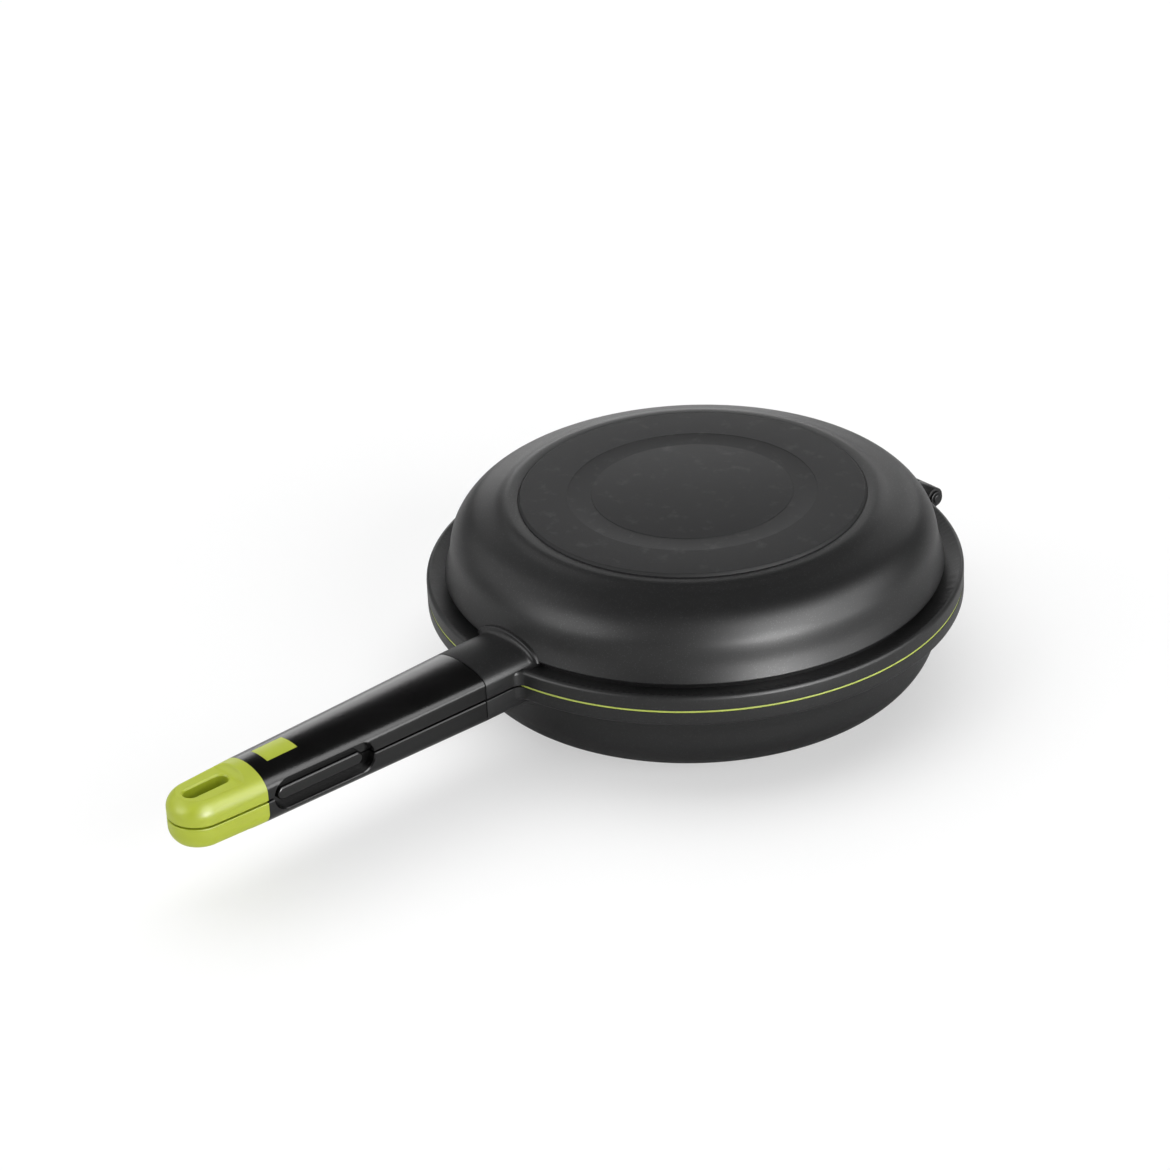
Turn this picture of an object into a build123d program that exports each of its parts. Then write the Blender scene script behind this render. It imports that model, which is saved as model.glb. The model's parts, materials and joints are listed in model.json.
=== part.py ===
"""Double-sided flip pan: two cast pans hinged at the rim, each with its own half of the handle.

Frame: millimetres, +Z up.  The origin is the centre of the lower pan's base plate, on the surface
that the pan stands on.  The handle points along -Y and the hinge is on the +Y side.

Each half is built in a split frame, where z is the height above the plane in which the two
halves meet.  The lower half is the mirror image of that, so one set of functions makes both.
"""
from build123d import *
from math import atan2, cos, sin, sqrt
import os

# ---------------------------------------------------------------- driving dimensions, mm
# Pans
RIM_R = 134.0              # outside of the rim, a nominal 24 cm pan
UPPER_DEPTH = 47.7         # split plane to the face of the upper base plate
LOWER_DEPTH = 51.5         # the lower pan is a little deeper
MATING_GAP = 1.0           # daylight between the two halves when shut
RIM_T = 8.0                # crest of the rim
RIM_ROUND = 2.0            # rounding of the rim's outer edge
GROOVE_MOUTH_R = 126.0     # where the rim's upper face dips into the shadow groove
GROOVE_FLOOR_Z = 5.6
GROOVE_R = 121.0           # bottom of the shadow groove above the rim
LIP_R = 124.8              # lip of the dome above the groove
LIP_Z = 9.0
LIP_CHAMFER = 0.8
LIP_FLARE = 0.32           # how much the wall leans out at the lip
WALL = 3.0                 # cast wall at the groove
MOUTH_R = 120.0            # cavity radius at the mating face
FLOOR_T = 4.0              # cast floor under the base plate
FLOOR_R = 93.0             # flat part of the cavity's floor
WALL_TOP_Z = 18.0          # height at which the cavity's straight wall starts to curve in

# Dome outline between the lip and the land: radius, share of the height from lip to base face
DOME = ((122.3, 0.207), (119.4, 0.535), (111.3, 0.780), (98.0, 0.903))
LAND_R = 91.0              # flat land around the base plate

# Base plates
PLATE_R = 86.4
PLATE_T = 1.8
PLATE_PROUD = 1.3
PLATE_BEVEL = 1.3
PLATE_BAND = (50.0, 62.0)   # radii of the shallow pressed band
BAND_DEPTH = 0.15

# Rim seal, carried by the lower pan
SEAL_R = 133.8
SEAL_IN_R = 126.4
SEAL_BELOW = 0.6           # seat depth under the split plane
SEAL_ABOVE = 0.3
SEAL_ROUND = 0.25
SEAL_RIB = (127.6, 129.6)  # radii of the rib that holds the seal in its groove
SEAL_RIB_DEPTH = 3.4
SEAL_CLEAR = 0.3           # seal to the upper pan

# Hinge
HINGE_Y = 141.7
KNUCKLE_R = 5.4
KNUCKLE_HALF = 16.8        # half length of the upper pan's knuckle
WEB_T = 5.2                # top of the webs between rim and knuckles
EAR_GAP = 0.4              # ear to knuckle, along the pin
EAR_END = 29.6             # outer face of each ear
PIN_R = 2.5
PIN_PRESS = 0.01           # clearance in the ears, where the pin is held
PIN_RUN = 0.06             # clearance in the turning knuckle
PIN_HEAD_R = 4.0
PIN_HEAD_T = 1.5
PIN_HEAD_ROUND = 1.0
PIN_TIP = 0.9              # pin beyond its clip
PIN_TIP_CHAMFER = 0.4
CLIP_ROUND = 0.5
KNUCKLE_EDGE = 0.3

# Handle: distances are measured along the handle from the pan's axis
NECK_ROOT = 108.0          # inside the dome's wall
NECK_END = 153.4           # cast neck meets the moulded handle
CAP_START = 282.9          # moulded handle meets the end cap
CAP_TURN = 310.9           # centre of the cap's round end
NECK_HALF = 19.0           # half width where the handle meets the neck
# Half sections as (half width, height of the straight side, height of the crown)
NECK_SECTION = {"upper": (NECK_HALF, 7.4, 14.7), "lower": (NECK_HALF, 8.6, 16.8)}
CAP_SECTION = {"upper": (16.3, 4.4, 14.8), "lower": (16.3, 5.7, 16.3)}
TURN_SECTION = {"upper": (14.8, 4.2, 14.4), "lower": (14.8, 5.2, 16.0)}
COLLAR_S = 123.7           # face of the raised collar where the neck meets the dome
COLLAR_GROW = 3.1          # collar beyond the neck's section
COLLAR_FILLET = 2.5
COLLAR_ROUND = 1.0
RIM_FILLET = 5.0           # neck to rim, in plan
EDGE = 0.5                 # broken edges along the parting line
SEAM = 0.1                 # hairline between pieces of one half

# Screwed joint between the neck and the handle
SCREW_Z = 8.0              # axis above the split plane
SCREW_R = 2.45
THREAD_HOLE_R = 2.5
SHANK_HOLE_R = 2.7
SCREW_TIP = 160.0
TANG_END = 176.0
TANG_HALF = 7.0
TANG_LOW = 4.0
TANG_HIGH = 12.0
TANG_CLEAR = 0.2
HEAD_SEAT = 277.0          # floor of the counterbore for the washer
HEAD_R = 4.0
HEAD_T = 3.0
HEAD_ROUND = 1.2
WASHER_R = 4.2
WASHER_T = 1.2
COUNTERBORE_R = 4.4
DRIVE_SLOT = (0.9, 1.4)    # width and depth of the cross drive

# Magnets that hold the halves shut
MAGNET_S = 195.0
MAGNET_R = 7.0
MAGNET_T = 3.0

# Coloured inlay in the crown of each handle
INLAY_FROM = 257.0
INLAY_TO = 274.6
INLAY_HALF = 6.1
INLAY_T = 2.2
INLAY_CLEAR = 0.12

# Side recess around the split and the grip bar inside it
RECESS_FROM = 221.0
RECESS_TO = 279.0
RECESS_HALF = 8.0
RECESS_DEPTH = 4.4
RECESS_DEPTH_LOWER = 4.8
BAR_FROM = 227.0
BAR_TO = 276.6
BAR_HALF = 3.5
BAR_INSET = 1.2            # face of the bar below the handle's side
BAR_ROUND = 1.4
RECESS_LIP = 0.6

# End cap
CAP_FLAT_Z = 11.8          # lowered flat around the hanging slot
CAP_FLAT_FROM = 288.5
CAP_RAMP_R = 5.0
CAP_RAMP_LEAN = 6.0        # how far the ramp's wall leans back towards the handle
CAP_ROUND = 1.2
SLOT_FROM = 293.6
SLOT_TO = 318.0
SLOT_HALF = 4.0
SLOT_EDGE = 0.7
TONGUE_FROM = 262.5
TONGUE_HALF = 10.0
TONGUE_T = 3.0
CAP_SCREW_S = 268.0
CAP_SCREW_X = 7.0
CAP_SCREW_R = 1.5
CAP_SCREW_HEAD_R = 2.8
CAP_SCREW_HEAD_T = 1.4
CAP_SCREW_TOP = 9.0

FACE = MATING_GAP / 2      # each half's mating face, above the split plane
BEYOND = 1.0               # how far a cutter runs past what it cuts
CLEAR = 30.0               # further than any section of the handle reaches
TINY = 0.01


# ---------------------------------------------------------------- helpers
def revolved(*edges):
    """Solid of revolution about Z from a closed outline in the XZ plane."""
    outline = Plane.XZ * make_face(Wire(edges))
    return revolve(outline, Axis.Z)


def ring(inner, outer, low, high):
    """Plain ring about Z."""
    height = high - low
    ring_face = Circle(outer) - Circle(inner)
    return Pos(0, 0, low) * extrude(ring_face, height)


def block(x0, x1, s0, s1, z0, z1):
    """Box between two distances along the handle."""
    size = Box(x1 - x0, s1 - s0, z1 - z0)
    return Pos((x0 + x1) / 2, -(s0 + s1) / 2, (z0 + z1) / 2) * size


def along_handle(radius, s0, s1, z):
    """Cylinder whose axis runs along the handle."""
    return Pos(0, -(s0 + s1) / 2, z) * Rot(90, 0, 0) * Cylinder(radius, s1 - s0)


def across(radius, x0, x1, y, z):
    """Cylinder whose axis runs along X."""
    return Pos((x0 + x1) / 2, y, z) * Rot(0, 90, 0) * Cylinder(radius, x1 - x0)


def half_section(s, section, low=FACE):
    """Half section of neck, handle or cap: flat below, straight sides, elliptical crown."""
    half, side, crown = section
    outline = Wire([
        Line((-half, low), (half, low)),
        Line((half, low), (half, side)),
        EllipticalCenterArc((0, side), half, crown - side, 0, arc_size=180),
        Line((-half, side), (-half, low)),
    ])
    return Plane(origin=(0, -s, 0), x_dir=(1, 0, 0), z_dir=(0, -1, 0)) * make_face(outline)


def between(s, s0, section0, s1, section1):
    """Section that lies at s on the straight taper from s0 to s1."""
    share = (s - s0) / (s1 - s0)
    return tuple(a + (b - a) * share for a, b in zip(section0, section1))


def handle_section(which, s):
    return between(s, NECK_END, NECK_SECTION[which], CAP_START, CAP_SECTION[which])


def tapered(s0, section0, s1, section1, low=FACE):
    """Straight taper between two half sections."""
    return loft([half_section(s0, section0, low), half_section(s1, section1, low)], ruled=True)


def edges_near(shape, test):
    """Edges whose centre passes a test."""
    return [edge for edge in shape.edges() if test(edge.center())]


def lower(shape):
    """Mirror a half built above the split plane, and set it on the surface."""
    return Pos(0, 0, LOWER_DEPTH) * mirror(shape, about=Plane.XY)


def upper(shape):
    return Pos(0, 0, LOWER_DEPTH) * shape


# ---------------------------------------------------------------- pans
def dome_body(depth):
    """Outside of one pan above the rim, with a plain skirt down to the mating face."""
    land_z = depth - PLATE_PROUD
    height = depth - LIP_Z
    dome = [(LIP_R, LIP_Z)] + [(r, LIP_Z + share * height) for r, share in DOME]
    dome.append((LAND_R, land_z))
    foot = (LIP_R, FACE)
    return revolved(
        Line((0, FACE), foot),
        Line(foot, dome[0]),
        Spline(*dome, tangents=((-LIP_FLARE, 1), (-1, 0))),
        Line(dome[-1], (0, land_z)),
        Line((0, land_z), (0, FACE)),
    )


def rim():
    """Rim flange that sweeps into the neck's sides in plan, with a rounded outer edge.

    Its upper face dips from the crest in to the shadow groove.
    """
    half = NECK_HALF
    plan = Circle(RIM_R) + Pos(0, -NECK_END / 2) * Rectangle(2 * half, NECK_END)
    corners = [v for v in plan.vertices() if abs(abs(v.X) - half) < TINY and v.Y > TINY - NECK_END]
    plan = fillet(corners, RIM_FILLET)
    # Each sweep touches the neck's side level with the sweep's own centre.
    touch_y = -sqrt((RIM_R + RIM_FILLET) ** 2 - (half + RIM_FILLET) ** 2)
    plan -= Pos(0, touch_y - CLEAR) * Rectangle(2 * RIM_R, 2 * CLEAR)
    flange = Pos(0, 0, FACE) * extrude(plan, RIM_T - FACE)
    crest = edges_near(flange, lambda c: c.Z > RIM_T - TINY and c.Y > touch_y + TINY)
    flange = fillet(crest, RIM_ROUND)
    crest_r = RIM_R - RIM_ROUND
    return flange - revolved(
        Line((0, GROOVE_FLOOR_Z), (GROOVE_MOUTH_R, GROOVE_FLOOR_Z)),
        Line((GROOVE_MOUTH_R, GROOVE_FLOOR_Z), (crest_r, RIM_T)),
        Line((crest_r, RIM_T), (crest_r, RIM_T + BEYOND)),
        Line((crest_r, RIM_T + BEYOND), (0, RIM_T + BEYOND)),
        Line((0, RIM_T + BEYOND), (0, GROOVE_FLOOR_Z)),
    )


def cavity_floor(depth):
    return depth - PLATE_T - FLOOR_T


def cavity(depth):
    """Inside of one pan, with a flared mouth."""
    floor_z = cavity_floor(depth)
    wall_r = GROOVE_R - WALL
    flare = MOUTH_R - wall_r
    rise = floor_z - WALL_TOP_Z
    return revolved(
        Line((0, 0), (MOUTH_R, 0)),
        Line((MOUTH_R, 0), (MOUTH_R, FACE)),
        Line((MOUTH_R, FACE), (wall_r, FACE + flare)),
        Line((wall_r, FACE + flare), (wall_r, WALL_TOP_Z)),
        EllipticalCenterArc((FLOOR_R, WALL_TOP_Z), wall_r - FLOOR_R, rise, 0, arc_size=90),
        Line((FLOOR_R, floor_z), (0, floor_z)),
        Line((0, floor_z), (0, 0)),
    )


def shadow_groove():
    """Cutter for the groove above the rim, stopped at the neck."""
    cutter = revolved(
        Line((GROOVE_R, GROOVE_FLOOR_Z), (GROOVE_MOUTH_R, GROOVE_FLOOR_Z)),
        Line((GROOVE_MOUTH_R, GROOVE_FLOOR_Z), (GROOVE_MOUTH_R, LIP_Z + LIP_CHAMFER)),
        Line((GROOVE_MOUTH_R, LIP_Z + LIP_CHAMFER), (LIP_R, LIP_Z + LIP_CHAMFER)),
        Line((LIP_R, LIP_Z + LIP_CHAMFER), (LIP_R - LIP_CHAMFER, LIP_Z)),
        Line((LIP_R - LIP_CHAMFER, LIP_Z), (GROOVE_R, LIP_Z)),
        Line((GROOVE_R, LIP_Z), (GROOVE_R, GROOVE_FLOOR_Z)),
    )
    return cutter - block(-NECK_HALF, NECK_HALF, 0, RIM_R, 0, 2 * LIP_Z)


def neck(which):
    """Cast arm that carries the handle, with a raised collar at the dome."""
    half, side, crown = NECK_SECTION[which]
    arm = extrude(half_section(NECK_END, NECK_SECTION[which]), NECK_ROOT - NECK_END)
    collar_section = (half + COLLAR_GROW, side, crown + COLLAR_GROW)
    collar = extrude(half_section(COLLAR_S, collar_section), NECK_ROOT - COLLAR_S)
    collar -= block(-CLEAR, CLEAR, 0, COLLAR_S + BEYOND, 0, LIP_Z)
    body = arm + collar
    reach = (COLLAR_FILLET + COLLAR_GROW) / 2

    def on_collar_face(c):
        return abs(c.Y + COLLAR_S) < TINY and c.Z > LIP_Z + TINY

    def at_rim(c):
        return abs(c.X) > half + reach or c.Z > crown + reach

    body = fillet(edges_near(body, lambda c: on_collar_face(c) and not at_rim(c)), COLLAR_FILLET)
    return fillet(edges_near(body, lambda c: on_collar_face(c) and at_rim(c)), COLLAR_ROUND)


def knuckle(x0, x1):
    """Hinge knuckle with the web that joins it to the rim."""
    barrel = across(KNUCKLE_R, x0, x1, HINGE_Y, 0)
    barrel = chamfer(barrel.edges().filter_by(GeomType.CIRCLE), KNUCKLE_EDGE)
    web = block(x0, x1, -HINGE_Y, -GROOVE_R, FACE, WEB_T)
    return barrel + (web - Cylinder(GROOVE_MOUTH_R + BEYOND, 4 * WEB_T))


def pan(which, depth, knuckle_spans, bore_clearance, seat_z):
    """One casting: pan, rim, neck, tang and hinge knuckles."""
    body = dome_body(depth) + neck(which) + rim()
    for x0, x1 in knuckle_spans:
        body += knuckle(x0, x1)
    body -= shadow_groove()
    body -= cavity(depth)
    body += block(-TANG_HALF, TANG_HALF, NECK_END, TANG_END, TANG_LOW, TANG_HIGH)
    body -= along_handle(THREAD_HOLE_R, SCREW_TIP - BEYOND, TANG_END + BEYOND, SCREW_Z)
    body -= across(PIN_R + bore_clearance, -EAR_END - BEYOND, EAR_END + BEYOND, HINGE_Y, 0)
    body -= ring(SEAL_IN_R - SEAL_CLEAR, RIM_R + SEAL_CLEAR, 0, seat_z)
    return body - Pos(0, 0, depth) * Cylinder(PLATE_R + SEAM, 2 * PLATE_T)


def upper_pan():
    knuckles = [(-KNUCKLE_HALF, KNUCKLE_HALF)]
    return pan("upper", UPPER_DEPTH, knuckles, PIN_RUN, SEAL_ABOVE + SEAL_CLEAR)


def lower_pan():
    start = KNUCKLE_HALF + EAR_GAP
    ears = [(-EAR_END, -start), (start, EAR_END)]
    body = pan("lower", LOWER_DEPTH, ears, PIN_PRESS, SEAL_BELOW)
    return body - ring(SEAL_RIB[0] - SEAM, SEAL_RIB[1] + SEAM, 0, SEAL_RIB_DEPTH + SEAM)


def base_plate(depth):
    """Steel disc set into the base, with a bevelled edge and a shallow pressed band."""
    top = depth
    bottom = depth - PLATE_T
    plate = revolved(
        Line((0, bottom), (PLATE_R, bottom)),
        Line((PLATE_R, bottom), (PLATE_R, top - PLATE_BEVEL)),
        Line((PLATE_R, top - PLATE_BEVEL), (PLATE_R - PLATE_BEVEL, top)),
        Line((PLATE_R - PLATE_BEVEL, top), (0, top)),
        Line((0, top), (0, bottom)),
    )
    inner, outer = PLATE_BAND
    return plate - ring(inner, outer, top - BAND_DEPTH, top + BEYOND)


def rim_seal():
    """Silicone ring, in the lower half's frame: a flat bead with a rib in the pan's groove."""
    bead = ring(SEAL_IN_R, SEAL_R, -SEAL_ABOVE, SEAL_BELOW)
    circles = bead.edges().filter_by(GeomType.CIRCLE)
    rounded = [edge for edge in circles if edge.radius > SEAL_R - BEYOND]
    bead = fillet(rounded, SEAL_ROUND)
    return bead + ring(SEAL_RIB[0], SEAL_RIB[1], SEAL_BELOW, SEAL_RIB_DEPTH)


# ---------------------------------------------------------------- handle
def side_plane(sign, middle):
    """Plane on the handle's side, its normal pointing out and its X axis towards the tip."""
    half = handle_section("upper", middle)[0]
    taper = atan2(NECK_HALF - half, middle - NECK_END)
    return Plane(
        origin=(sign * half, -middle, 0),
        x_dir=(-sign * sin(taper), -cos(taper), 0),
        z_dir=(sign * cos(taper), -sin(taper), 0),
    )


def side_recess(sign, depth):
    """Cutter for the round-ended recess that both halves share, with a bevelled lip."""
    face = side_plane(sign, (RECESS_FROM + RECESS_TO) / 2)
    length = RECESS_TO - RECESS_FROM
    pocket = extrude(face.offset(-depth) * SlotOverall(length, 2 * RECESS_HALF), depth + BEYOND)
    lip_outline = SlotOverall(length + 2 * RECESS_LIP, 2 * (RECESS_HALF + RECESS_LIP))
    return pocket + extrude(face * lip_outline, -RECESS_LIP, taper=45)


def grip_bar(sign, depth):
    """Bar that stands on the recess's floor and reaches below the split plane."""
    plane = side_plane(sign, (BAR_FROM + BAR_TO) / 2)
    outline = SlotOverall(BAR_TO - BAR_FROM, 2 * BAR_HALF)
    bar = extrude(plane.offset(-depth - SEAM) * outline, depth + SEAM - BAR_INSET)
    face = bar.faces().sort_by(Axis(plane.origin, plane.z_dir))[-1]
    return fillet(face.edges(), BAR_ROUND)


def inlay_blank(which, clearance):
    """Block that cuts the inlay's pocket, or trims the inlay itself."""
    crown = handle_section(which, INLAY_TO)[2]
    return block(
        -INLAY_HALF - clearance, INLAY_HALF + clearance,
        INLAY_FROM - clearance, INLAY_TO + clearance,
        crown - INLAY_T - clearance, CLEAR,
    )


def handle_body(which):
    start = NECK_END + SEAM
    return tapered(start, handle_section(which, start), CAP_START, CAP_SECTION[which])


def handle(which, recess_depth):
    """Moulded half handle with its socket, bores, pockets and side recesses."""
    body = handle_body(which)
    broken = edges_near(body, lambda c: c.Z < FACE + TINY or c.Y > -NECK_END - BEYOND)
    body = chamfer(broken, EDGE)
    for sign in (-1, 1):
        body -= side_recess(sign, recess_depth)
    body -= block(-TANG_HALF - TANG_CLEAR, TANG_HALF + TANG_CLEAR, NECK_END - BEYOND,
                  TANG_END + TANG_CLEAR, TANG_LOW - TANG_CLEAR, TANG_HIGH + TANG_CLEAR)
    body -= along_handle(SHANK_HOLE_R, TANG_END, CAP_START + BEYOND, SCREW_Z)
    body -= along_handle(COUNTERBORE_R, HEAD_SEAT, CAP_START + BEYOND, SCREW_Z)
    body -= Pos(0, -MAGNET_S, 0) * Cylinder(MAGNET_R + SEAM, 2 * (FACE + MAGNET_T + SEAM))
    body -= block(-TONGUE_HALF - SEAM, TONGUE_HALF + SEAM, TONGUE_FROM - SEAM, CAP_START + BEYOND,
                  0, FACE + TONGUE_T + SEAM)
    body -= inlay_blank(which, INLAY_CLEAR)
    for x in (-CAP_SCREW_X, CAP_SCREW_X):
        body -= Pos(x, -CAP_SCREW_S, 0) * Cylinder(CAP_SCREW_R + SEAM / 2, 2 * (CAP_SCREW_TOP + SEAM))
    return body


def lower_handle():
    return handle("lower", RECESS_DEPTH_LOWER)


def upper_handle():
    """The upper half also carries the two grip bars."""
    return handle("upper", RECESS_DEPTH) + grip_bar(-1, RECESS_DEPTH) + grip_bar(1, RECESS_DEPTH)


def inlay(which):
    """Coloured inlay, flush with the crown."""
    return handle_body(which) & inlay_blank(which, 0)


def magnet():
    return Pos(0, -MAGNET_S, FACE + MAGNET_T / 2) * Cylinder(MAGNET_R, MAGNET_T)


def handle_screw():
    """Long machine screw with a cross-drive pan head."""
    seat = HEAD_SEAT + WASHER_T
    head = along_handle(HEAD_R, seat, seat + HEAD_T, SCREW_Z)
    head = fillet(head.edges().sort_by(Axis.Y)[0], HEAD_ROUND)
    screw = along_handle(SCREW_R, SCREW_TIP, seat, SCREW_Z) + head
    width, deep = DRIVE_SLOT
    reach = 0.6 * HEAD_R
    top = seat + HEAD_T
    screw -= block(-reach, reach, top - deep, top + BEYOND, SCREW_Z - width / 2, SCREW_Z + width / 2)
    screw -= block(-width / 2, width / 2, top - deep, top + BEYOND, SCREW_Z - reach, SCREW_Z + reach)
    return screw


def handle_washer():
    seat = HEAD_SEAT + WASHER_T
    disc = along_handle(WASHER_R, HEAD_SEAT, seat, SCREW_Z)
    return disc - along_handle(SHANK_HOLE_R, HEAD_SEAT - BEYOND, seat + BEYOND, SCREW_Z)


def end_cap(which):
    """Soft end cap: tapered body, round end, lowered flat with a hanging slot, and a tongue."""
    body = tapered(CAP_START + SEAM, CAP_SECTION[which], CAP_TURN, TURN_SECTION[which])
    half, side, crown = TURN_SECTION[which]
    end = revolved(
        Line((0, FACE), (half, FACE)),
        Line((half, FACE), (half, side)),
        EllipticalCenterArc((0, side), half, crown - side, 0, arc_size=90),
        Line((0, crown), (0, FACE)),
    )
    body += Pos(0, -CAP_TURN, 0) * end
    back_top = (CAP_RAMP_LEAN - CAP_FLAT_FROM, CLEAR)
    ramp_top = (-CAP_FLAT_FROM, CAP_FLAT_Z + CAP_RAMP_R)
    ramp_foot = (-CAP_FLAT_FROM - CAP_RAMP_R, CAP_FLAT_Z)
    far = -CAP_TURN - CLEAR
    above_flat = Wire([
        Line(back_top, ramp_top),
        RadiusArc(ramp_top, ramp_foot, CAP_RAMP_R),
        Line(ramp_foot, (far, CAP_FLAT_Z)),
        Line((far, CAP_FLAT_Z), (far, CLEAR)),
        Line((far, CLEAR), back_top),
    ])
    body -= extrude(Plane.YZ * make_face(above_flat), CLEAR, both=True)
    crest = edges_near(body, lambda c: c.Z > CAP_FLAT_Z - TINY and c.Y < -CAP_START - BEYOND)
    body = fillet(crest, CAP_ROUND)
    parting = edges_near(body, lambda c: c.Z < FACE + TINY and c.Y < -CAP_START - BEYOND)
    body = fillet(parting, EDGE)
    slot = SlotOverall(SLOT_TO - SLOT_FROM, 2 * SLOT_HALF, rotation=90)
    slot_middle = -(SLOT_FROM + SLOT_TO) / 2
    body -= extrude(Pos(0, slot_middle, 0) * slot, CLEAR)
    mouth = edges_near(body, lambda c: abs(c.Z - CAP_FLAT_Z) < TINY and abs(c.X) < SLOT_HALF + TINY
                       and -SLOT_TO - TINY < c.Y < TINY - SLOT_FROM)
    body = chamfer(mouth, SLOT_EDGE)
    body += block(-TONGUE_HALF, TONGUE_HALF, TONGUE_FROM, CAP_START + TONGUE_T,
                  FACE, FACE + TONGUE_T)
    for x in (-CAP_SCREW_X, CAP_SCREW_X):
        body -= Pos(x, -CAP_SCREW_S, 0) * Cylinder(CAP_SCREW_R + SEAM, CLEAR)
        body -= Pos(x, -CAP_SCREW_S, FACE) * countersink(SEAM)
    return body


def countersink(clearance):
    """Head of a cap screw, wide end on the mating face."""
    return revolved(
        Line((0, -TINY), (CAP_SCREW_HEAD_R + clearance, -TINY)),
        Line((CAP_SCREW_HEAD_R + clearance, -TINY), (CAP_SCREW_R + clearance, CAP_SCREW_HEAD_T)),
        Line((CAP_SCREW_R + clearance, CAP_SCREW_HEAD_T), (0, CAP_SCREW_HEAD_T)),
        Line((0, CAP_SCREW_HEAD_T), (0, -TINY)),
    )


def cap_screws():
    """Two countersunk screws that hold the cap's tongue in the handle."""
    width, deep = DRIVE_SLOT
    reach = 0.5 * CAP_SCREW_HEAD_R
    screws = []
    for x in (-CAP_SCREW_X, CAP_SCREW_X):
        shank = Pos(0, 0, CAP_SCREW_TOP / 2) * Cylinder(CAP_SCREW_R, CAP_SCREW_TOP - 2 * FACE)
        screw = shank + Pos(0, 0, FACE) * countersink(0)
        screw -= Box(2 * reach, width, 2 * deep)
        screw -= Box(width, 2 * reach, 2 * deep)
        screws.append(Pos(x, -CAP_SCREW_S, 0) * screw)
    return Compound(children=screws)


# ---------------------------------------------------------------- hinge pin
def hinge_pin():
    """Steel pin with a domed head on the -X side."""
    pin = across(PIN_R, -EAR_END, EAR_END + PIN_HEAD_T + PIN_TIP, HINGE_Y, 0)
    pin = chamfer(pin.edges().sort_by(Axis.X)[-1], PIN_TIP_CHAMFER)
    head = across(PIN_HEAD_R, -EAR_END - PIN_HEAD_T, -EAR_END, HINGE_Y, 0)
    head = fillet(head.edges().sort_by(Axis.X)[0], PIN_HEAD_ROUND)
    return pin + head


def hinge_clip():
    """Push-on clip that keeps the pin in."""
    clip = across(PIN_HEAD_R, EAR_END, EAR_END + PIN_HEAD_T, HINGE_Y, 0)
    clip = fillet(clip.edges().sort_by(Axis.X)[-1], CLIP_ROUND)
    return clip - across(PIN_R + PIN_PRESS, -EAR_END, EAR_END + PIN_HEAD_T + BEYOND, HINGE_Y, 0)


def main():
    nodes = {
        "lower_pan": lower(lower_pan()),
        "lower_base_plate": lower(base_plate(LOWER_DEPTH)),
        "rim_seal": lower(rim_seal()),
        "lower_handle": lower(lower_handle()),
        "lower_handle_screw": lower(handle_screw()),
        "lower_handle_washer": lower(handle_washer()),
        "lower_end_cap": lower(end_cap("lower")),
        "lower_cap_screws": lower(cap_screws()),
        "lower_handle_inlay": lower(inlay("lower")),
        "lower_magnet": lower(magnet()),
        "hinge_pin": upper(hinge_pin()),
        "hinge_clip": upper(hinge_clip()),
        "upper_pan": upper(upper_pan()),
        "upper_base_plate": upper(base_plate(UPPER_DEPTH)),
        "upper_handle": upper(upper_handle()),
        "upper_handle_screw": upper(handle_screw()),
        "upper_handle_washer": upper(handle_washer()),
        "upper_end_cap": upper(end_cap("upper")),
        "upper_cap_screws": upper(cap_screws()),
        "upper_handle_inlay": upper(inlay("upper")),
        "upper_magnet": upper(magnet()),
    }
    os.makedirs("parts", exist_ok=True)
    for name, shape in nodes.items():
        export_step(shape, f"parts/{name}.step")


main()
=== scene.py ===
# %% [markdown]
# # A double-sided flip pan
# Two shallow cast pans close rim to rim over a green silicone ring. A hinge joins them opposite
# the handle, and each pan carries half of the handle, with a lime green cap on its end.
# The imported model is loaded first. It gives every piece its place and size in metres: +Z is up,
# the handle points along -Y, and the origin is where the lower pan stands. All that follows is
# made around it, so nothing has to be fitted afterwards.

# %% The fixed frame
import json
import math

import bmesh
import bpy
from mathutils import Matrix, Vector
from mathutils.geometry import interpolate_bezier


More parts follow.
